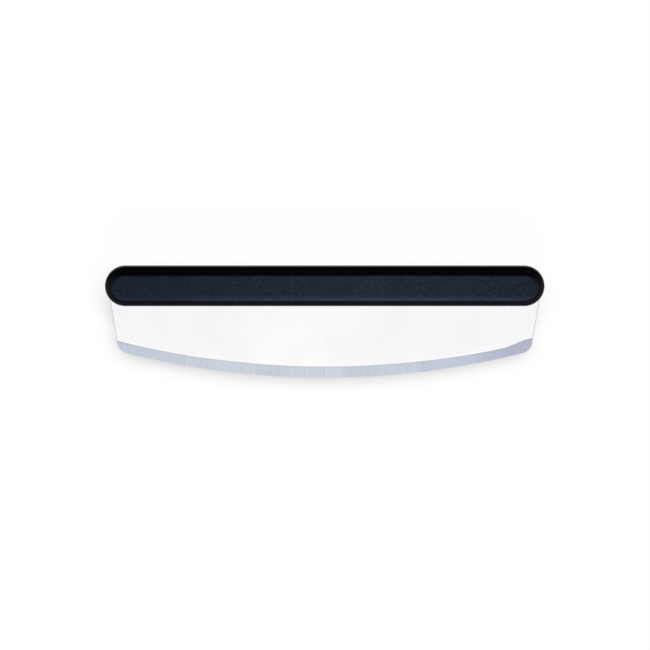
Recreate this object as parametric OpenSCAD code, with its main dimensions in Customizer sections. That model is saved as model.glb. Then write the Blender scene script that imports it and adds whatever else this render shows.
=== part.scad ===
// Rocking pizza knife: a long curved blade clamped between two handle shells.
// The knife lies on its side. X runs along the handle, +Y points to the spine
// and +Z points out of the front face. Units are millimetres.

/* [Overall] */
// Length of the handle, which is also the length of the knife
handle_length = 379; // [350:1:400]
// Height of the handle from its spine to its underside
handle_height = 35; // [33:0.5:40]
// Thickness of the handle from its rear face to its front face
handle_thickness = 22; // [21:0.5:26]
// Height of the whole knife from the spine to the cutting edge
overall_height = 97; // [90:0.5:110]

/* [Blade] */
// Thickness of the steel plate
blade_thickness = 1.5; // [1.2:0.1:2]
// Radius of the curved cutting edge
edge_radius = 700; // [600:10:900]
// Gap between the side of the blade and the end of the handle, at the underside
end_inset = 5.1; // [5:0.1:7]
// Angle by which the sides of the blade lean inwards
side_angle = 9.2; // [6:0.2:12]
// Radius of the rounded lower corners
corner_radius = 11; // [6:0.5:16]
// Width of the ground bevel along the cutting edge
bevel_width = 9.5; // [6:0.5:12]
// Thickness left at the cutting edge
edge_land = 0.2; // [0.1:0.05:0.4]
// Break along the sides of the blade
side_break = 0.6; // [0.2:0.1:0.7]

/* [Tang] */
// Height of the tang above the centreline of the handle
tang_rise = 9; // [7:0.5:10]
// Distance from the centreline down to the shoulder of the blade
shoulder_drop = 11; // [10.5:0.1:12]
// Radius of the upper corners of the tang
tang_corner = 6; // [3:0.5:7]
// Length of a lightening slot in the tang
slot_length = 34; // [24:1:36]
// Height of a lightening slot in the tang
slot_height = 7; // [5:0.5:9]
// Room round the screws and the dowels in the tang
tang_room = 0.3; // [0.2:0.05:0.4]

/* [Handle shells] */
// Draft of the outer side of a shell, in degrees
side_draft = 2; // [1:0.5:3]
// Distance from the side of the handle to the flat of its face
shoulder_width = 9.2; // [8.8:0.1:9.6]
// Slope of the shoulders, in degrees
shoulder_angle = 36; // [32:1:40]
// Rounding between the flat of the face and a shoulder
crown_round = 4.8; // [4:0.1:5.6]
// Rounding between a shoulder and the side
edge_round = 3.5; // [3:0.1:4]
// Width of the rim round the inlay
rim_width = 4; // [3.8:0.1:4.4]
// Chamfer of the outer edge at the parting line
parting_chamfer = 0.25; // [0.15:0.05:0.4]
// Chamfer of the inner edge of the rim
rim_break = 0.2; // [0.1:0.05:0.3]
// Thickness of the wall round the inner room
shell_wall = 3; // [2.8:0.1:3.6]
// Thickness of the web under the inlay
web_thickness = 2; // [1.8:0.1:2.4]
// Thickness of the ribs
rib_thickness = 1.2; // [0.8:0.1:1.6]
// Distance of the long ribs from the centreline
rib_offset = 8; // [6:0.5:10]
// Diameter of the bosses
boss_diameter = 8; // [7:0.5:10]
// Width of the tongue on the rear shell
tongue_width = 0.9; // [0.7:0.1:1]
// Height of the tongue on the rear shell
tongue_height = 0.8; // [0.6:0.1:1]
// Room round the tongue in its groove
tongue_room = 0.1; // [0.05:0.05:0.15]
// Diameter of the locating dowels on the rear shell
dowel_diameter = 4; // [3:0.5:4.5]
// Distance that a locating dowel enters the front shell
dowel_entry = 2.25; // [1.5:0.25:3]
// Distance of the dowels from the centres of the round ends
dowel_end_inset = 14; // [10:1:16]

/* [Inlays] */
// Gap between an inlay and the rim
inlay_gap = 0.5; // [0.3:0.05:0.6]
// Chamfer of the outer edge of an inlay
inlay_break = 0.2; // [0.1:0.05:0.3]
// Thickness of an inlay in its flat middle
inlay_thickness = 4.4; // [4.2:0.1:4.8]
// Diameter of the pegs that hold an inlay
peg_diameter = 3; // [2:0.5:4]
// Room round a peg in its hole
peg_room = 0.05; // [0:0.05:0.1]
// Distance that a peg stands out behind the web
peg_projection = 1.2; // [0.5:0.1:2]

/* [Screws and inserts] */
// Distance of the outer screws from the centres of the round ends
screw_end_inset = 28; // [26:1:34]
// Diameter of the screws
screw_diameter = 3; // [2.5:0.5:3]
// Diameter of the countersunk heads
head_diameter = 5.6; // [5.2:0.1:6]
// Distance that a head sits below the floor of the rear pocket
head_sink = 0.1; // [0:0.05:0.2]
// Width across the flats of the hexagon sockets
socket_width = 2; // [1.5:0.5:2.5]
// Depth of the hexagon sockets
socket_depth = 1.1; // [0.8:0.1:1.3]
// Room round a screw in the rear shell
screw_room = 0.2; // [0.1:0.05:0.3]
// Outer diameter of the threaded inserts
insert_diameter = 4.2; // [4:0.1:4.6]
// Length of the threaded inserts
insert_length = 4; // [3:0.1:4]
// Width of the groove round an insert
insert_groove = 0.8; // [0.4:0.1:1.2]

/* [View] */
// Sub-part that is drawn

/* [Hidden] */
$fn = 72;
arc_segments = 720;
steel_colour = [0.85, 0.86, 0.88];
shell_colour = [0.10, 0.10, 0.12];
inlay_colour = [0.20, 0.24, 0.29];
screw_colour = [0.55, 0.56, 0.58];
brass_colour = [0.78, 0.62, 0.30];
overlap = 0.5;
beyond = 1;

// Handle
outer_radius = handle_height / 2;
end_x = handle_length / 2 - outer_radius;
centre_y = overall_height / 2 - outer_radius;
parting_z = handle_thickness / 2;
chamfer_top_r = outer_radius - parting_chamfer * tan(side_draft);
flat_out = [0, 1];
shoulder_out = [sin(shoulder_angle), cos(shoulder_angle)];
draft_out = [cos(side_draft), sin(side_draft)];
shoulder_fall = tan(shoulder_angle);
crown_centre = [outer_radius - shoulder_width, parting_z - crown_round];
crown_corner_r = crown_centre.x + crown_round * tan(shoulder_angle / 2);
edge_corner_h = shoulder_h(outer_radius) / (1 - tan(side_draft) * shoulder_fall);
edge_corner = [outer_radius - edge_corner_h * tan(side_draft), edge_corner_h];
edge_centre = edge_corner - edge_round * (shoulder_out + draft_out) / (1 + shoulder_out * draft_out);
pocket_radius = outer_radius - rim_width;
pocket_floor = parting_z - inlay_thickness;
rim_break_h = shoulder_h(pocket_radius + rim_break) - rim_break;
web_under = pocket_floor - web_thickness;
room_radius = outer_radius - shell_wall;
tongue_radius = outer_radius - shell_wall / 2;
blade_half = blade_thickness / 2;
slot_clearance = 0.15;
slot_top_y = slot_clearance - shoulder_drop;
tongue_end_gap = 1.8;
tongue_low_y = slot_top_y + tongue_end_gap;

// Inlays
inlay_radius = pocket_radius - inlay_gap;
inlay_break_drop = 2 * inlay_break;
inlay_break_h = shoulder_h(inlay_radius - inlay_break) - inlay_break_drop;
inlay_lead = 0.3;
peg_lead = 0.4;

// Blade
edge_y = -overall_height / 2;
arc_centre = [0, edge_y + edge_radius];
underside_y = centre_y - outer_radius;
underside_half = handle_length / 2 - end_inset;
shoulder_y = centre_y - shoulder_drop;
shoulder_round = 1.5;
relief_radius = 2.5;
side_out = [cos(side_angle), -sin(side_angle)];
side_down = [-sin(side_angle), -cos(side_angle)];
side_start = [underside_half, underside_y] - corner_radius * side_out - arc_centre;
side_along = side_start * side_down;
inner_radius = edge_radius - corner_radius;
side_travel = -side_along + sqrt(side_along * side_along - side_start * side_start + inner_radius * inner_radius);
corner_centre = arc_centre + side_start + side_travel * side_down;
corner_out = (corner_centre - arc_centre) / inner_radius;
shoulder_centre_y = shoulder_y - shoulder_round;
shoulder_centre = [side_x(shoulder_centre_y) - shoulder_round / cos(side_angle), shoulder_centre_y];
corner_relief = 0.002;
corner_reach = 1.04;
bevel_drop = blade_half - edge_land / 2;
bevel_slope = bevel_drop / bevel_width;
bevel_start = edge_radius - bevel_width;

// Fixings
screw_rows = [-2, -1, 0, 1, 2];
peg_rows = [-1.5, -0.5, 0.5, 1.5];
rib_rows = [-5 / 3, -4 / 3, -2 / 3, -1 / 3, 1 / 3, 2 / 3, 4 / 3, 5 / 3];
screw_spacing = (end_x - screw_end_inset) / 2;
dowel_x = end_x - dowel_end_inset;
screw_radius = screw_diameter / 2;
head_radius = head_diameter / 2;
head_height = head_radius - screw_radius;
head_top = pocket_floor - head_sink;
insert_sink = 0.1;
insert_start = blade_half + insert_sink;
insert_end = insert_start + insert_length;
insert_room = 0.025;
groove_depth = 0.25;
thread_room = 0.02;
screw_tip = insert_end + 0.4;
hole_end = insert_end + 0.7;
tip_chamfer = 0.4;

// Half width of the blade at a height, following the leaning side
function side_x(y) = underside_half - (underside_y - y) * tan(side_angle);

// Height of the sloping shoulder above the parting plane at a given radius
function shoulder_h(radius) = parting_z - (radius - crown_corner_r) * shoulder_fall;

// Plan of the handle at a given radius
module stadium(radius) {
    square([2 * end_x, 2 * radius], center = true);
    for (side = [-1, 1])
        translate([side * end_x, 0])
            circle(radius);
}

// Plate with the plan of the handle between two heights
module stadium_plate(radius, low, high) {
    translate([0, 0, low])
        linear_extrude(high - low)
            stadium(radius);
}

// Solid with a given half section all the way round the handle
module swept_round() {
    for (turn = [0, 180])
        rotate([0, 0, turn])
            translate([end_x, 0, 0])
                rotate([0, 0, -90])
                    rotate_extrude(angle = 180)
                        children();
    rotate([90, 0, 90])
        linear_extrude(2 * end_x, center = true) {
            children();
            mirror([1, 0])
                children();
        }
}

// Half section of the outside of the handle, above the parting plane
module handle_section() {
    difference() {
        polygon([
            [0, 0],
            [outer_radius - parting_chamfer, 0],
            [chamfer_top_r, parting_chamfer],
            edge_corner,
            [crown_corner_r, parting_z],
            [0, parting_z]
        ]);
        corner_waste(crown_centre, crown_round, flat_out, shoulder_out);
        corner_waste(edge_centre, edge_round, shoulder_out, draft_out);
    }
}

// Bosses and ribs that stiffen a shell and carry the tang, in plan
module rib_plan() {
    intersection() {
        stadium(room_radius + overlap);
        union() {
            for (row = screw_rows)
                translate([row * screw_spacing, 0]) {
                    circle(d = boss_diameter);
                    square([rib_thickness, handle_height], center = true);
                }
            for (row = rib_rows)
                translate([row * screw_spacing, 0])
                    square([rib_thickness, handle_height], center = true);
            for (side = [-1, 1]) {
                translate([side * dowel_x, 0]) {
                    circle(d = boss_diameter);
                    square([rib_thickness, handle_height], center = true);
                }
                translate([0, side * rib_offset])
                    square([handle_length, rib_thickness], center = true);
            }
        }
    }
}

// Ring on the parting face that closes the seam above the blade slot, in plan
module seam_plan(width, low_y) {
    intersection() {
        difference() {
            stadium(tongue_radius + width / 2);
            stadium(tongue_radius - width / 2);
        }
        translate([-handle_length, low_y])
            square([2 * handle_length, handle_height]);
    }
}

// Shell before its fixing details, standing on the parting plane
module shell_body() {
    difference() {
        union() {
            difference() {
                swept_round()
                    handle_section();
                stadium_plate(pocket_radius, pocket_floor, parting_z + beyond);
                stadium_plate(room_radius, -beyond, web_under);
                translate([0, 0, rim_break_h])
                    swept_round()
                        polygon([
                            [pocket_radius - overlap, 0],
                            [pocket_radius, 0],
                            [pocket_radius + 2 * rim_break, 2 * rim_break],
                            [pocket_radius - overlap, 2 * rim_break]
                        ]);
            }
            translate([0, 0, blade_half])
                linear_extrude(web_under + overlap - blade_half)
                    rib_plan();
        }
        translate([-handle_length, slot_top_y - handle_height, -beyond])
            cube([2 * handle_length, handle_height, beyond + blade_half]);
        for (row = peg_rows)
            translate([row * screw_spacing, 0, web_under - beyond])
                cylinder(h = web_thickness + 2 * beyond, d = peg_diameter + 2 * peg_room);
    }
}

// Shell with blind holes for the inserts, dowel sockets and a groove
module front_half() {
    difference() {
        shell_body();
        for (row = screw_rows)
            translate([row * screw_spacing, 0, -beyond])
                cylinder(h = beyond + hole_end, r = insert_diameter / 2 + insert_room);
        for (side = [-1, 1])
            translate([side * dowel_x, 0, -beyond])
                cylinder(h = beyond + blade_half + dowel_entry + overlap, d = dowel_diameter + tang_room);
        translate([0, 0, -beyond])
            linear_extrude(beyond + tongue_height + tongue_room)
                seam_plan(tongue_width + 2 * tongue_room, tongue_low_y - tongue_room);
    }
}

// Shell with countersunk screw holes, dowels and a tongue
module rear_half() {
    difference() {
        shell_body();
        for (row = screw_rows)
            translate([row * screw_spacing, 0, 0]) {
                translate([0, 0, -beyond])
                    cylinder(h = beyond + parting_z, r = screw_radius + screw_room);
                translate([0, 0, head_top - head_height])
                    cylinder(h = head_height, r1 = screw_radius, r2 = head_radius);
                translate([0, 0, head_top])
                    cylinder(h = parting_z, r = head_radius);
            }
    }
    for (side = [-1, 1])
        translate([side * dowel_x, 0, -blade_half - dowel_entry])
            cylinder(h = 2 * blade_half + dowel_entry + overlap, d = dowel_diameter);
    translate([0, 0, -tongue_height])
        linear_extrude(tongue_height + overlap)
            seam_plan(tongue_width, tongue_low_y);
}

// Half section of an inlay, flush with the outside of the handle
module inlay_section() {
    intersection() {
        handle_section();
        polygon([
            [0, pocket_floor],
            [inlay_radius - inlay_lead, pocket_floor],
            [inlay_radius, pocket_floor + inlay_lead],
            [inlay_radius, inlay_break_h],
            [inlay_radius - 2 * inlay_break, inlay_break_h + 2 * inlay_break_drop],
            [inlay_radius - 2 * inlay_break, parting_z + beyond],
            [0, parting_z + beyond]
        ]);
    }
}

// Domed inlay with the pegs that hold it in the web of a shell
module inlay() {
    swept_round()
        inlay_section();
    for (row = peg_rows)
        translate([row * screw_spacing, 0, web_under - peg_projection]) {
            cylinder(h = peg_lead, d1 = peg_diameter - peg_lead, d2 = peg_diameter);
            translate([0, 0, peg_lead])
                cylinder(h = pocket_floor + overlap - web_under + peg_projection - peg_lead, d = peg_diameter);
        }
}

// Region between a sharp corner and the arc that rounds it. The arc is a
// hair larger than its radius, so it crosses both sides cleanly.
module corner_waste(centre, radius, first, second) {
    tip = centre + corner_reach * radius * (first + second) / (1 + first * second);
    difference() {
        polygon([centre, centre + radius * first, tip, centre + radius * second]);
        translate(centre)
            circle(radius + corner_relief);
    }
}

// Blade below the shoulder, in plan
module blade_plan() {
    difference() {
        intersection() {
            translate(arc_centre)
                circle(edge_radius, $fn = arc_segments);
            polygon([
                [-side_x(shoulder_y), shoulder_y],
                [side_x(shoulder_y), shoulder_y],
                [side_x(edge_y - beyond), edge_y - beyond],
                [-side_x(edge_y - beyond), edge_y - beyond]
            ]);
        }
        for (side = [0, 1])
            mirror([side, 0]) {
                corner_waste(corner_centre, corner_radius, side_out, corner_out);
                corner_waste(shoulder_centre, shoulder_round, [0, 1], side_out);
            }
    }
}

// Tang with its screw holes, dowel holes and lightening slots, in plan
module tang_plan() {
    tang_low = shoulder_y - overlap;
    tang_high = centre_y + tang_rise;
    difference() {
        union() {
            translate([-end_x, tang_low])
                square([2 * end_x, tang_high - tang_low]);
            translate([-end_x - relief_radius, shoulder_y - overlap])
                square([2 * (end_x + relief_radius), relief_radius + overlap]);
        }
        for (side = [0, 1])
            mirror([side, 0]) {
                corner_waste([end_x - tang_corner, tang_high - tang_corner], tang_corner, [1, 0], [0, 1]);
                translate([end_x + relief_radius, shoulder_y + relief_radius])
                    circle(relief_radius);
            }
        translate([0, centre_y]) {
            for (row = screw_rows)
                translate([row * screw_spacing, 0])
                    circle(screw_radius + tang_room);
            for (side = [-1, 1])
                translate([side * dowel_x, 0])
                    circle(d = dowel_diameter + tang_room);
            for (row = peg_rows)
                translate([row * screw_spacing, 0]) {
                    square([slot_length - slot_height, slot_height], center = true);
                    for (side = [-1, 1])
                        translate([side * (slot_length - slot_height) / 2, 0])
                            circle(d = slot_height);
                }
        }
    }
}

// Waste above one face of the blade along the cutting edge
module bevel_waste() {
    translate(arc_centre)
        rotate([0, 0, -120])
            rotate_extrude(angle = 60, $fn = arc_segments)
                polygon([
                    [bevel_start - beyond, blade_half + bevel_slope * beyond],
                    [edge_radius + beyond, edge_land / 2 - bevel_slope * beyond],
                    [edge_radius + beyond, blade_half + beyond],
                    [bevel_start - beyond, blade_half + beyond]
                ]);
}

// Waste along one long edge of the side of the blade
module side_waste() {
    translate([underside_half, underside_y, 0])
        rotate([0, 0, -side_angle])
            rotate([90, 0, 0])
                linear_extrude(3 * overall_height, center = true)
                    polygon([
                        [-side_break - overlap, blade_half + overlap],
                        [overlap, blade_half - side_break - overlap],
                        [overlap, blade_half + overlap]
                    ]);
}

module blade() {
    color(steel_colour)
        translate([0, 0, parting_z])
            difference() {
                translate([0, 0, -blade_half])
                    linear_extrude(blade_thickness) {
                        blade_plan();
                        tang_plan();
                    }
                for (face = [0, 1])
                    mirror([0, 0, face]) {
                        bevel_waste();
                        for (side = [0, 1])
                            mirror([side, 0, 0])
                                side_waste();
                    }
            }
}

module front_shell() {
    color(shell_colour)
        translate([0, centre_y, parting_z])
            front_half();
}

module rear_shell() {
    color(shell_colour)
        translate([0, centre_y, parting_z])
            mirror([0, 0, 1])
                rear_half();
}

module front_inlay() {
    color(inlay_colour)
        translate([0, centre_y, parting_z])
            inlay();
}

module rear_inlay() {
    color(inlay_colour)
        translate([0, centre_y, parting_z])
            mirror([0, 0, 1])
                inlay();
}

// Countersunk screw with a hexagon socket, its tip in the front shell
module screw() {
    difference() {
        rotate_extrude()
            polygon([
                [0, -head_top],
                [head_radius, -head_top],
                [screw_radius, head_height - head_top],
                [screw_radius, screw_tip - tip_chamfer],
                [screw_radius - tip_chamfer, screw_tip],
                [0, screw_tip]
            ]);
        translate([0, 0, -head_top - beyond])
            cylinder(h = beyond + socket_depth, r = socket_width / sqrt(3), $fn = 6);
    }
}

module tang_screws() {
    color(screw_colour)
        for (row = screw_rows)
            translate([row * screw_spacing, centre_y, parting_z])
                screw();
}

// Brass insert with a groove round its middle
module insert() {
    outer = insert_diameter / 2;
    bore = screw_radius + thread_room;
    groove_low = insert_start + (insert_length - insert_groove) / 2;
    rotate_extrude()
        polygon([
            [bore, insert_start],
            [outer, insert_start],
            [outer, groove_low],
            [outer - groove_depth, groove_low],
            [outer - groove_depth, groove_low + insert_groove],
            [outer, groove_low + insert_groove],
            [outer, insert_end],
            [bore, insert_end]
        ]);
}

module threaded_inserts() {
    color(brass_colour)
        for (row = screw_rows)
            translate([row * screw_spacing, centre_y, parting_z])
                insert();
}

blade();
front_shell();
rear_shell();
front_inlay();
rear_inlay();
tang_screws();
threaded_inserts();
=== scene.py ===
import math

import bpy
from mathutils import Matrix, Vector


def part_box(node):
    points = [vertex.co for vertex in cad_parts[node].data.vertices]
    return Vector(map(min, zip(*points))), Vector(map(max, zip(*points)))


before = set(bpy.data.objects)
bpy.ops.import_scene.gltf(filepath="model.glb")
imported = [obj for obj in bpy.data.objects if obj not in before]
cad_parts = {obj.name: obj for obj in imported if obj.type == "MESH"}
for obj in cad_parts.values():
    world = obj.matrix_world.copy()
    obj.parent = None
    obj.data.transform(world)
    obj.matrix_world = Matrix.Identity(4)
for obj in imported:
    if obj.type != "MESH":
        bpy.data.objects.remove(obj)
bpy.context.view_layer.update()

# Sizes in metres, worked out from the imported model
blade_low, blade_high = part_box("blade")
shell_low, shell_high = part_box("front_shell")
inlay_low, inlay_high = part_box("front_inlay")
handle_length = shell_high[0] - shell_low[0]
handle_mid_y = (shell_low[1] + shell_high[1]) / 2
handle_end_x = handle_length / 2 - (shell_high[1] - shell_low[1]) / 2
inlay_radius = (inlay_high[1] - inlay_low[1]) / 2
blade_mid_z = (blade_low[2] + blade_high[2]) / 2

WHITE = (1.0, 1.0, 1.0, 1.0)

# Noise lies mostly between these two values
NOISE_SPAN = (0.3, 0.7)

# Blade. Its cutting edge is an arc, with a ground bevel along it
EDGE_RADIUS = 0.700
BEVEL_WIDTH = 0.0095
arc_centre = Vector((0.0, blade_low[1] + EDGE_RADIUS, 0.0))

# Stretches of the edge, from its middle, where the bevel narrows or flares
RIGHT_NARROWING_SPAN = (0.060, 0.145)
RIGHT_NARROWING = 0.0012
LEFT_NARROWING_SPAN = (-0.075, -0.170)
LEFT_NARROWING = 0.0009
FLARE_SPAN = (0.160, 0.177)
FLARE = 0.0024

# Half the blur at the start of the bevel, and the darker line there: width and share
BEVEL_BLUR = 0.00012
CROWN_WIDTH = 0.0014
CROWN_SHARE = 0.45

# Where the tone of the bevel changes along the edge
STEP_SPAN = (0.0835, 0.0850)
STEP_SHARE = 0.30
RIGHT_SHADE_SPAN = (0.110, 0.165)
LEFT_SHADE_SPAN = (-0.100, -0.170)

# Distances from the middle of the blade over which the painted warm reflection on its faces
# fades
WARM_REFLECTION_SPAN = (0.015, 0.16)
WARM_REFLECTION_SHARE = 0.8

# Colours of the faces, the sides and the ground bevel, and the level of the bevel
FACE_DARK = (0.895, 0.898, 0.915, 1.0)
FACE_PALE = (0.925, 0.926, 0.940, 1.0)
# Colour of the painted warm reflection in the middle of the faces
FACE_WARM_REFLECTION = (0.965, 0.935, 0.932, 1.0)
FACE_CLOUD = (0.865, 0.866, 0.888, 1.0)
SIDE_COLOUR = (0.54, 0.55, 0.58, 1.0)
GROUND_DARK = (0.515, 0.558, 0.643, 1.0)
GROUND_PALE = (0.735, 0.778, 0.863, 1.0)
GROUND_TINT = (0.585, 0.660, 0.740, 1.0)
GROUND_SCRATCH = (0.52, 0.56, 0.66, 1.0)
GROUND_SLOW = (0.48, 0.52, 0.61, 1.0)
GROUND_STEP = (0.46, 0.50, 0.61, 1.0)
GROUND_CROWN = (0.38, 0.41, 0.49, 1.0)
RIGHT_END_SHADE = (0.83, 0.828, 0.877, 1.0)
LEFT_END_SHADE = (0.925, 0.927, 0.942, 1.0)
GROUND_LEVEL = 0.905

# Patterns along X, Y and Z, and on the bevel along the edge and across it
GRAIN_PER_METRE = (30.0, 1400.0, 1400.0)
CLOUDS_PER_METRE = 26.0
STREAKS_PER_METRE = (430.0, 26.0, 1.0)
SCRATCHES_PER_METRE = (2600.0, 60.0, 1.0)
TINTS_PER_METRE = (60.0, 60.0, 1.0)
SLOW_TONES_PER_METRE = (26.0, 8.0, 1.0)

# Depth of the scratches, and the ranges of roughness
SCRATCH_HEIGHT = 0.000003
FACE_ROUGHNESS = (0.18, 0.24)
BEVEL_ROUGHNESS = (0.29, 0.37)

# How far a surface faces along Z, from the sides of the plate to its faces
FACING_SPAN = (0.85, 0.95)

# Shells of the handle
SHELL_DARK = (0.0012, 0.0014, 0.0028, 1.0)
SHELL_PALE = (0.0022, 0.0024, 0.0044, 1.0)
SHELL_CLOUD = (0.0018, 0.0020, 0.0038, 1.0)
SHELL_GRAIN_PER_METRE = 3200.0
SHELL_CLOUDS_PER_METRE = 60.0
SHELL_TEXTURE_HEIGHT = 0.000006
SHELL_ROUGHNESS = (0.28, 0.34)

# Inlays of the handle
INLAY_DARK = (0.0085, 0.0122, 0.0205, 1.0)
INLAY_PALE = (0.0178, 0.0236, 0.0368, 1.0)
INLAY_CLOUD = (0.0078, 0.0118, 0.0190, 1.0)
INLAY_SPECK = (0.0215, 0.0290, 0.0440, 1.0)
INLAY_WIDE = (0.0135, 0.0195, 0.0300, 1.0)
# Colour of the painted shade along an inlay's outline
INLAY_PAINTED_SHADE = (0.0030, 0.0034, 0.0050, 1.0)
SPECKS_PER_METRE = 1500.0
MOTTLES_PER_METRE = 420.0
INLAY_CLOUDS_PER_METRE = (60.0, 160.0, 160.0)
WIDE_TONES_PER_METRE = 30.0
SPECK_PART = 0.6
MOTTLE_PART = 0.4
INLAY_TEXTURE_HEIGHT = 0.00003
INLAY_TEXTURE_STRENGTH = 0.8
INLAY_ROUGHNESS = (0.42, 0.56)
MOTTLE_SPAN = (0.38, 0.62)

# Painted sheen on an inlay: where it is palest, how far from there it is darkest, and its
# level at both
PAINTED_SHEEN_X = 0.045
PAINTED_SHEEN_REACH = 0.20
PAINTED_SHEEN_PEAK_LEVEL = 1.20
PAINTED_SHEEN_EDGE_LEVEL = 0.86

# Painted shade along an inlay's outline, by the groove: distances in from its outline, and
# shares
GROOVE_SHADE_WIDTH = 0.0018
GROOVE_SHADE_SHARE = 0.55
SLOPE_START = 0.0046
SLOPE_END = 0.0028
SLOPE_SHADE_SHARE = 0.25

# The painted shade is deeper on the lower side, at the round ends and near the left one
LOWER_SHADE_SHARE = 0.25
LOWER_FADE = 0.006
BEFORE_ROUND_END = 0.010
INTO_ROUND_END = 0.004
LEFT_FADE_SPAN = (-0.103, -0.122)

# Screws and inserts. Their turning marks are finest along their axis
SCREW_DARK = (0.42, 0.43, 0.45, 1.0)
SCREW_PALE = (0.60, 0.61, 0.63, 1.0)
SCREW_MARKS_PER_METRE = (900.0, 900.0, 6000.0)
SCREW_ROUGHNESS = (0.28, 0.42)
BRASS_DARK = (0.58, 0.42, 0.16, 1.0)
BRASS_PALE = (0.78, 0.60, 0.28, 1.0)
BRASS_MARKS_PER_METRE = (900.0, 900.0, 5000.0)
BRASS_ROUGHNESS = (0.30, 0.45)
MARK_HEIGHT = 0.00001

# Floor, a hair under the knife. Its colour matters only to light that it scatters
FLOOR_SIZE = 6.0
FLOOR_GAP = 0.0002
FLOOR_COLOUR = (0.93, 0.93, 0.93, 1.0)
FLOOR_GLOW_SHARE = 0.99
SHADED_COLOUR = (0.06, 0.05, 0.0, 1.0)

# Soft shadow on the floor: its open side, its reach, its fading and its deepest share
TO_OPEN_SIDE = (0.34, 0.68, 0.65)
SHADOW_REACH = 0.022
SHADOW_CURVE = 1.5
DEEPEST_SHADE = 0.5

# Strength of the shadow on the two sides of the knife, and where along Y it changes
SHADE_BY_EDGE = 1.38
SHADE_BY_SPINE = 0.38
SHADE_CHANGE_SPAN = (-0.030, 0.025)

# World. Y and Z below are directions on a sphere around the knife, from -1 to 1
AMBIENT = 0.015
SPINE_SIDE_SPAN = (0.12, 0.50)
SPINE_SIDE_LEVEL = 0.01
FAR_EDGE_SIDE_SPAN = (-0.95, -0.5)
FAR_EDGE_SIDE_LEVEL = 0.3
LOW_SPAN = (0.0, 0.5)
LOW_LEVEL = 0.5
HORIZON_SPAN = (0.02, 0.16)
HORIZON_LEVEL = 0.8
HORIZON_START_SPAN = (0.5, 0.8)

# Key lamp: its direction, its distance, its two sides, and its power in watts
TO_KEY = (0.0, -0.90, 0.36)
KEY_DISTANCE = 2.2
KEY_WIDTH = 4.4
KEY_HEIGHT = 0.2
KEY_POWER = 212.5

# The photograph, in its own pixels: its size, and the handle's length and middle
PHOTO_SIZE = 650
HANDLE_PIXELS = 439.1
HANDLE_MID_PIXEL = (324.73, 285.62)
metres_per_pixel = handle_length / HANDLE_PIXELS

# Camera: its height, its lean towards the spine as a slope, and its sensor in millimetres
CAMERA_HEIGHT = 3.6
CAMERA_LEAN = 0.08
SENSOR_WIDTH = 36.0


class Graph:
    """A node tree with short calls for adding and joining nodes."""

    def __init__(self, tree):
        self.tree = tree
        self.nodes = tree.nodes
        self.nodes.clear()

    def add(self, kind, **settings):
        node = self.nodes.new(kind)
        for name, value in settings.items():
            setattr(node, name, value)
        return node

    def join(self, source, target):
        self.tree.links.new(source, target)

    def feed(self, socket, value):
        """Sets a socket to a number or colour, or links another socket to it."""
        if isinstance(value, bpy.types.NodeSocket):
            self.join(value, socket)
        else:
            socket.default_value = value

    def math(self, operation, first, second=0.0):
        node = self.add("ShaderNodeMath", operation=operation)
        self.feed(node.inputs[0], first)
        self.feed(node.inputs[1], second)
        return node.outputs[0]

    def size(self, value):
        """A number without its sign."""
        return self.math("ABSOLUTE", value)

    def fit(self, value, low, high, new_low=0.0, new_high=1.0):
        """Maps one range of numbers to another, held at its ends."""
        node = self.add("ShaderNodeMapRange")
        for socket, number in zip(node.inputs, (value, low, high, new_low, new_high)):
            self.feed(socket, number)
        return node.outputs[0]

    def part(self, vector, axis):
        """One part of a vector, X, Y or Z."""
        node = self.add("ShaderNodeSeparateXYZ")
        self.join(vector, node.inputs[0])
        return node.outputs[axis]

    def length(self, first, second):
        """Distance from zero of a point given by its two parts."""
        first_square = self.math("MULTIPLY", first, first)
        second_square = self.math("MULTIPLY", second, second)
        return self.math("SQRT", self.math("ADD", first_square, second_square))

    def mix(self, share, first, second):
        """Blends two colours."""
        node = self.add("ShaderNodeMix", data_type="RGBA")
        self.feed(node.inputs[0], share)
        self.feed(node.inputs[6], first)
        self.feed(node.inputs[7], second)
        return node.outputs[2]

    def tone(self, colour, other, pattern, low, high, share):
        """Blends a colour towards another where a pattern is strong, up to a share."""
        return self.mix(self.fit(pattern, low, high, 0.0, share), colour, other)

    def times(self, vector, factors):
        """Multiplies a vector or colour by another one, part by part."""
        node = self.add("ShaderNodeVectorMath", operation="MULTIPLY")
        self.feed(node.inputs[0], vector)
        self.feed(node.inputs[1], factors)
        return node.outputs[0]

    def scale(self, colour, factor):
        """Makes a colour brighter or darker by one factor."""
        node = self.add("ShaderNodeVectorMath", operation="SCALE")
        self.feed(node.inputs[0], colour)
        self.feed(node.inputs["Scale"], factor)
        return node.outputs[0]

    def noise(self, vector, per_metre, detail, roughness):
        """Noise from 0 to 1, with the same scale along every axis."""
        node = self.add("ShaderNodeTexNoise")
        self.feed(node.inputs["Vector"], vector)
        node.inputs["Scale"].default_value = per_metre
        node.inputs["Detail"].default_value = detail
        node.inputs["Roughness"].default_value = roughness
        return node.outputs["Fac"]

    def drawn_noise(self, vector, per_metre, detail, roughness):
        """Noise with its own scale along each of the three axes."""
        return self.noise(self.times(vector, per_metre), 1.0, detail, roughness)

    def bump(self, height, distance, strength=1.0):
        """A normal for a surface that rises and falls with a pattern."""
        node = self.add("ShaderNodeBump")
        node.inputs["Strength"].default_value = strength
        node.inputs["Distance"].default_value = distance
        self.feed(node.inputs["Height"], height)
        return node.outputs["Normal"]


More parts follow.
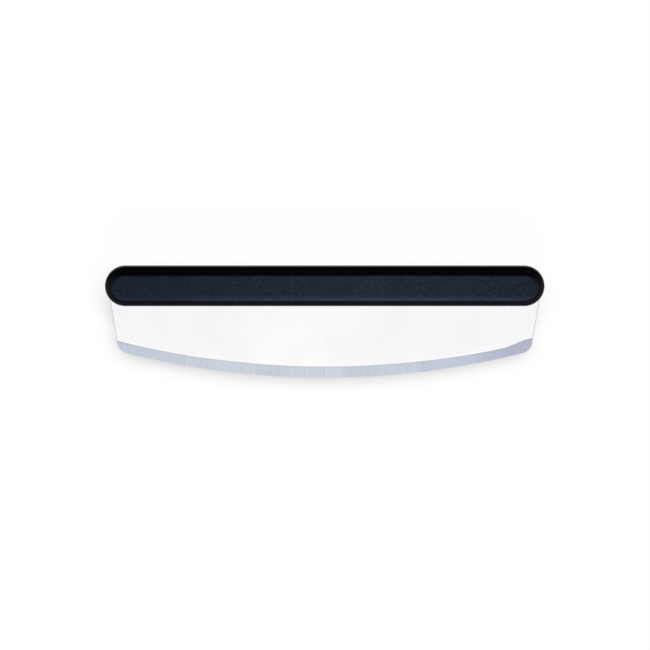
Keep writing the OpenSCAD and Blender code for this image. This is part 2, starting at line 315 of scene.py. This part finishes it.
def new_material(name, **constants):
    """A principled material. The constants are set on the shader's own sockets."""
    material = bpy.data.materials.new(name)
    material.use_nodes = True
    graph = Graph(material.node_tree)
    shader = graph.add("ShaderNodeBsdfPrincipled")
    output = graph.add("ShaderNodeOutputMaterial")
    graph.join(shader.outputs[0], output.inputs["Surface"])
    for label, value in constants.items():
        shader.inputs[label.replace("_", " ")].default_value = value
    place = graph.add("ShaderNodeTexCoord").outputs["Object"]
    return material, graph, shader, place


def finish_shader(graph, shader, colour, roughness, normal):
    """Joins what varies over a surface to its shader."""
    graph.join(colour, shader.inputs["Base Color"])
    graph.join(roughness, shader.inputs["Roughness"])
    graph.join(normal, shader.inputs["Normal"])


def dress(node, material):
    """Gives a CAD node one material."""
    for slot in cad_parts[node].material_slots:
        slot.material = material


def edge_place(graph, place):
    """Distance along the cutting edge, distance from its centre, and both as a vector."""
    offset = graph.add("ShaderNodeVectorMath", operation="SUBTRACT")
    graph.join(place, offset.inputs[0])
    offset.inputs[1].default_value = arc_centre
    x = graph.part(offset.outputs[0], "X")
    y = graph.part(offset.outputs[0], "Y")
    radius = graph.length(x, y)
    turn = graph.math("ARCTAN2", x, graph.math("MULTIPLY", y, -1.0))
    arc = graph.math("MULTIPLY", turn, EDGE_RADIUS)
    polar = graph.add("ShaderNodeCombineXYZ")
    graph.join(arc, polar.inputs[0])
    graph.join(radius, polar.inputs[1])
    return arc, radius, polar.outputs[0]


def bevel_depth(graph, arc, radius):
    """Distance into the bevel, which narrows to both ends and flares at the right one."""
    right_side = graph.fit(arc, *RIGHT_NARROWING_SPAN, 0.0, RIGHT_NARROWING)
    left_side = graph.fit(arc, *LEFT_NARROWING_SPAN, 0.0, LEFT_NARROWING)
    narrowing = graph.math("ADD", right_side, left_side)
    flare = graph.fit(arc, *FLARE_SPAN, 0.0, FLARE)
    start = graph.math("SUBTRACT", narrowing, flare)
    depth = graph.math("SUBTRACT", radius, EDGE_RADIUS - BEVEL_WIDTH)
    return graph.math("SUBTRACT", depth, start)


def face_colour(graph, place, grain):
    """Rolled steel with a fine grain, faint clouds and a painted warm reflection in the
    middle.
    """
    cloud = graph.noise(place, CLOUDS_PER_METRE, detail=3.0, roughness=0.55)
    # Painted warm reflection, strongest in the middle of the faces
    warm = graph.fit(graph.size(graph.part(place, "X")), *WARM_REFLECTION_SPAN, 1.0, 0.0)
    colour = graph.mix(grain, FACE_DARK, FACE_PALE)
    colour = graph.mix(graph.math("MULTIPLY", warm, WARM_REFLECTION_SHARE), colour, FACE_WARM_REFLECTION)
    return graph.tone(colour, FACE_CLOUD, cloud, low=0.42, high=0.68, share=0.6)


def ground_colour(graph, polar, arc, depth, streak, scratch):
    """Grinding marks across the bevel, with tones that change along the edge."""
    tint = graph.drawn_noise(polar, TINTS_PER_METRE, detail=2.0, roughness=0.5)
    slow = graph.drawn_noise(polar, SLOW_TONES_PER_METRE, detail=2.0, roughness=0.5)
    colour = graph.mix(graph.fit(streak, *NOISE_SPAN), GROUND_DARK, GROUND_PALE)
    colour = graph.tone(colour, GROUND_TINT, tint, low=0.40, high=0.65, share=0.60)
    colour = graph.tone(colour, GROUND_SCRATCH, scratch, low=0.35, high=0.65, share=0.35)
    colour = graph.tone(colour, GROUND_SLOW, slow, low=0.42, high=0.62, share=0.30)
    colour = graph.tone(colour, GROUND_STEP, arc, *STEP_SPAN, STEP_SHARE)
    shade = graph.mix(graph.fit(arc, *RIGHT_SHADE_SPAN), WHITE, RIGHT_END_SHADE)
    shade = graph.mix(graph.fit(arc, *LEFT_SHADE_SPAN), shade, LEFT_END_SHADE)
    colour = graph.times(colour, shade)
    crown = graph.fit(depth, 0.0, CROWN_WIDTH, 1.0, 0.0)
    colour = graph.mix(graph.math("MULTIPLY", crown, CROWN_SHARE), colour, GROUND_CROWN)
    return graph.scale(colour, GROUND_LEVEL)


def blade_material():
    """Satin rolled faces, and a ground bevel along the cutting edge."""
    material, graph, shader, place = new_material("blade_steel", Metallic=0.55)
    arc, radius, polar = edge_place(graph, place)
    depth = bevel_depth(graph, arc, radius)
    bevel = graph.fit(depth, -BEVEL_BLUR, BEVEL_BLUR)

    grain = graph.drawn_noise(place, GRAIN_PER_METRE, detail=3.0, roughness=0.6)
    streak = graph.drawn_noise(polar, STREAKS_PER_METRE, detail=4.0, roughness=0.62)
    scratch = graph.drawn_noise(polar, SCRATCHES_PER_METRE, detail=3.0, roughness=0.65)
    face = face_colour(graph, place, grain)
    ground = ground_colour(graph, polar, arc, depth, streak, scratch)
    colour = graph.mix(bevel, face, ground)

    # The sides of the plate are darker than its faces
    facing = graph.part(graph.add("ShaderNodeNewGeometry").outputs["True Normal"], "Z")
    side = graph.fit(graph.size(facing), *FACING_SPAN, 1.0, 0.0)
    colour = graph.mix(side, colour, SIDE_COLOUR)

    face_rough = graph.fit(grain, *NOISE_SPAN, *FACE_ROUGHNESS)
    bevel_rough = graph.fit(streak, *NOISE_SPAN, *BEVEL_ROUGHNESS)
    rise = graph.math("MULTIPLY", bevel, graph.math("SUBTRACT", bevel_rough, face_rough))
    roughness = graph.math("ADD", face_rough, rise)

    on_face = graph.math("MULTIPLY", grain, graph.math("SUBTRACT", 1.0, bevel))
    on_bevel = graph.math("MULTIPLY", scratch, bevel)
    normal = graph.bump(graph.math("ADD", on_face, on_bevel), SCRATCH_HEIGHT)
    finish_shader(graph, shader, colour, roughness, normal)
    return material


def shell_material():
    """Smooth dark nylon with a faint moulded grain and a little sheen."""
    material, graph, shader, place = new_material(
        "shell_nylon", IOR=1.5, Specular_IOR_Level=0.12)
    grain = graph.noise(place, SHELL_GRAIN_PER_METRE, detail=2.0, roughness=0.6)
    cloud = graph.noise(place, SHELL_CLOUDS_PER_METRE, detail=3.0, roughness=0.55)
    colour = graph.mix(grain, SHELL_DARK, SHELL_PALE)
    colour = graph.tone(colour, SHELL_CLOUD, cloud, low=0.35, high=0.65, share=0.5)
    roughness = graph.fit(cloud, *NOISE_SPAN, *SHELL_ROUGHNESS)
    normal = graph.bump(grain, SHELL_TEXTURE_HEIGHT)
    finish_shader(graph, shader, colour, roughness, normal)
    return material


def inlay_painted_shade(graph, place):
    """Share of painted shade by which an inlay is darker along its outline."""
    x = graph.part(place, "X")
    y = graph.part(place, "Y")
    out_x = graph.size(x)
    past_end = graph.math("MAXIMUM", graph.math("SUBTRACT", out_x, handle_end_x), 0.0)
    reach = graph.length(past_end, graph.math("SUBTRACT", y, handle_mid_y))
    painted_groove_shade = graph.fit(reach, inlay_radius - GROOVE_SHADE_WIDTH, inlay_radius, 0.0, GROOVE_SHADE_SHARE)
    painted_slope_shade = graph.fit(reach, inlay_radius - SLOPE_START, inlay_radius - SLOPE_END)
    end_start = handle_end_x - BEFORE_ROUND_END
    round_end = graph.fit(out_x, end_start, handle_end_x + INTO_ROUND_END)
    end = graph.math("MAXIMUM", round_end, graph.fit(x, *LEFT_FADE_SPAN))
    lower = graph.fit(y, handle_mid_y - LOWER_FADE, handle_mid_y, LOWER_SHADE_SHARE, 0.0)
    share = graph.math("ADD", graph.math("MULTIPLY", end, lower), SLOPE_SHADE_SHARE)
    return graph.math("ADD", painted_groove_shade, graph.math("MULTIPLY", painted_slope_shade, share))


def inlay_material():
    """Slate nylon with a fine spark texture, a painted sheen a little right of its middle,
    and painted shade along its outline.
    """
    material, graph, shader, place = new_material(
        "inlay_nylon", IOR=1.5, Specular_IOR_Level=0.03)
    speck = graph.noise(place, SPECKS_PER_METRE, detail=3.0, roughness=0.7)
    mottle = graph.noise(place, MOTTLES_PER_METRE, detail=3.0, roughness=0.6)
    wide = graph.noise(place, WIDE_TONES_PER_METRE, detail=2.0, roughness=0.5)
    cloud = graph.drawn_noise(place, INLAY_CLOUDS_PER_METRE, detail=3.0, roughness=0.6)
    colour = graph.mix(graph.fit(mottle, *MOTTLE_SPAN), INLAY_DARK, INLAY_PALE)
    colour = graph.tone(colour, INLAY_CLOUD, cloud, low=0.35, high=0.65, share=0.35)
    colour = graph.tone(colour, INLAY_SPECK, speck, low=0.45, high=0.75, share=0.6)
    colour = graph.tone(colour, INLAY_WIDE, wide, low=0.35, high=0.65, share=0.3)

    # Painted sheen: palest a little right of the middle, darker towards both ends
    from_painted_sheen = graph.size(graph.math("SUBTRACT", graph.part(place, "X"), PAINTED_SHEEN_X))
    level = graph.fit(from_painted_sheen, 0.0, PAINTED_SHEEN_REACH, PAINTED_SHEEN_PEAK_LEVEL, PAINTED_SHEEN_EDGE_LEVEL)
    colour = graph.scale(colour, level)
    # Painted shade along the outline, deeper on the lower side and at the round ends
    colour = graph.mix(inlay_painted_shade(graph, place), colour, INLAY_PAINTED_SHADE)

    roughness = graph.fit(speck, *NOISE_SPAN, *INLAY_ROUGHNESS)
    fine_part = graph.math("MULTIPLY", speck, SPECK_PART)
    coarse_part = graph.math("MULTIPLY", mottle, MOTTLE_PART)
    texture = graph.math("ADD", fine_part, coarse_part)
    normal = graph.bump(texture, INLAY_TEXTURE_HEIGHT, INLAY_TEXTURE_STRENGTH)
    finish_shader(graph, shader, colour, roughness, normal)
    return material


def turned_metal(name, dark, pale, per_metre, roughness_span):
    """Metal with fine turning marks."""
    material, graph, shader, place = new_material(name, Metallic=1.0)
    marks = graph.drawn_noise(place, per_metre, detail=2.0, roughness=0.5)
    colour = graph.mix(marks, dark, pale)
    roughness = graph.fit(marks, *NOISE_SPAN, *roughness_span)
    finish_shader(graph, shader, colour, roughness, graph.bump(marks, MARK_HEIGHT))
    return material


def shadow_share(graph):
    """Share of shade on the floor near the knife, stronger by the cutting edge."""
    shadow = graph.add("ShaderNodeAmbientOcclusion", samples=16)
    shadow.inputs["Distance"].default_value = SHADOW_REACH
    toward = graph.add("ShaderNodeCombineXYZ")
    for socket, value in zip(toward.inputs, Vector(TO_OPEN_SIDE).normalized()):
        socket.default_value = value
    graph.join(toward.outputs[0], shadow.inputs["Normal"])
    closed = graph.math("SUBTRACT", 1.0, shadow.outputs["AO"])
    share = graph.math("POWER", closed, SHADOW_CURVE)
    y = graph.part(graph.add("ShaderNodeTexCoord").outputs["Object"], "Y")
    strength = graph.fit(y, *SHADE_CHANGE_SPAN, SHADE_BY_EDGE, SHADE_BY_SPINE)
    return graph.math("MINIMUM", graph.math("MULTIPLY", share, strength), DEEPEST_SHADE)


def floor_material():
    """White to the camera and in reflections, with a soft shadow near the knife."""
    material = bpy.data.materials.new("floor_white")
    material.use_nodes = True
    graph = Graph(material.node_tree)
    matt = graph.add("ShaderNodeBsdfDiffuse")
    matt.inputs["Color"].default_value = FLOOR_COLOUR
    glow = graph.add("ShaderNodeEmission")
    graph.join(graph.mix(shadow_share(graph), WHITE, SHADED_COLOUR), glow.inputs["Color"])
    glow.inputs["Strength"].default_value = 1.0
    path = graph.add("ShaderNodeLightPath")
    seen = graph.math("MAXIMUM", path.outputs["Is Camera Ray"], path.outputs["Is Glossy Ray"])
    seen = graph.math("MAXIMUM", seen, path.outputs["Is Transmission Ray"])
    blend = graph.add("ShaderNodeMixShader")
    graph.join(graph.math("MULTIPLY", seen, FLOOR_GLOW_SHARE), blend.inputs[0])
    graph.join(matt.outputs[0], blend.inputs[1])
    graph.join(glow.outputs[0], blend.inputs[2])
    output = graph.add("ShaderNodeOutputMaterial")
    graph.join(blend.outputs[0], output.inputs["Surface"])
    return material


def make_floor():
    """A plain pale floor under the knife."""
    bpy.ops.mesh.primitive_plane_add(size=FLOOR_SIZE, location=(0.0, 0.0, -FLOOR_GAP))
    floor = bpy.context.object
    floor.name = "floor"
    floor.data.materials.append(floor_material())


def mirrored_light(graph):
    """What reflections see: white above and by the edge, and dark by the spine."""
    direction = graph.add("ShaderNodeTexCoord").outputs["Generated"]
    y = graph.part(direction, "Y")
    z = graph.part(direction, "Z")
    card = graph.math(
        "MULTIPLY",
        graph.fit(y, *SPINE_SIDE_SPAN, 1.0, SPINE_SIDE_LEVEL),
        graph.fit(y, *FAR_EDGE_SIDE_SPAN, FAR_EDGE_SIDE_LEVEL, 1.0))
    card = graph.math("MULTIPLY", card, graph.fit(z, *LOW_SPAN, LOW_LEVEL, 1.0))

    # A pale strip along the horizon on the side of the spine
    horizon = graph.fit(z, *HORIZON_SPAN, HORIZON_LEVEL, 0.0)
    horizon = graph.math("MULTIPLY", horizon, graph.fit(y, *HORIZON_START_SPAN))
    return graph.math("MAXIMUM", card, horizon)


def make_world():
    """White to the camera, a studio in reflections, and nearly dark as a lamp."""
    world = bpy.data.worlds.new("studio")
    bpy.context.scene.world = world
    world.use_nodes = True
    graph = Graph(world.node_tree)
    path = graph.add("ShaderNodeLightPath")
    glossy = path.outputs["Is Glossy Ray"]
    mirrored = graph.math("MAXIMUM", glossy, path.outputs["Is Transmission Ray"])
    strength = graph.math("MULTIPLY", mirrored, mirrored_light(graph))
    strength = graph.math("MAXIMUM", strength, path.outputs["Is Camera Ray"])
    strength = graph.math("MAXIMUM", strength, AMBIENT)
    background = graph.add("ShaderNodeBackground")
    background.inputs["Color"].default_value = WHITE
    graph.join(strength, background.inputs["Strength"])
    output = graph.add("ShaderNodeOutputWorld")
    graph.join(background.outputs[0], output.inputs["Surface"])


def make_key_light():
    """One low, wide lamp on the side of the cutting edge, aimed at the knife."""
    lamp = bpy.data.lights.new("key", "AREA")
    lamp.shape = "RECTANGLE"
    lamp.size = KEY_WIDTH
    lamp.size_y = KEY_HEIGHT
    lamp.energy = KEY_POWER
    holder = bpy.data.objects.new("key", lamp)
    bpy.context.collection.objects.link(holder)
    place = Vector(TO_KEY).normalized() * KEY_DISTANCE
    holder.location = place
    holder.rotation_euler = (-place).to_track_quat("-Z", "Y").to_euler()
    holder.visible_glossy = False


def make_camera():
    """A camera above the face of the knife, framed as the photograph is."""
    height = CAMERA_HEIGHT - blade_mid_z
    distance = height * math.hypot(1.0, CAMERA_LEAN)
    lens_data = bpy.data.cameras.new("camera")
    lens_data.sensor_width = SENSOR_WIDTH
    lens_data.lens = SENSOR_WIDTH * distance / (PHOTO_SIZE * metres_per_pixel)
    holder = bpy.data.objects.new("camera", lens_data)
    bpy.context.collection.objects.link(holder)
    half = PHOTO_SIZE / 2
    x = (half - HANDLE_MID_PIXEL[0]) * metres_per_pixel
    y = handle_mid_y - (half - HANDLE_MID_PIXEL[1]) * metres_per_pixel
    holder.location = (x, y + CAMERA_LEAN * height, CAMERA_HEIGHT)
    holder.rotation_euler = (-math.atan(CAMERA_LEAN), 0.0, 0.0)
    bpy.context.scene.camera = holder


shell = shell_material()
inlay = inlay_material()
screw = turned_metal(
    "screw_steel", SCREW_DARK, SCREW_PALE, SCREW_MARKS_PER_METRE, SCREW_ROUGHNESS)
brass = turned_metal(
    "insert_brass", BRASS_DARK, BRASS_PALE, BRASS_MARKS_PER_METRE, BRASS_ROUGHNESS)
dress("blade", blade_material())
dress("front_shell", shell)
dress("rear_shell", shell)
dress("front_inlay", inlay)
dress("rear_inlay", inlay)
dress("tang_screws", screw)
dress("threaded_inserts", brass)

make_floor()
make_world()
make_key_light()
make_camera()
bpy.context.scene.view_settings.view_transform = "Standard"
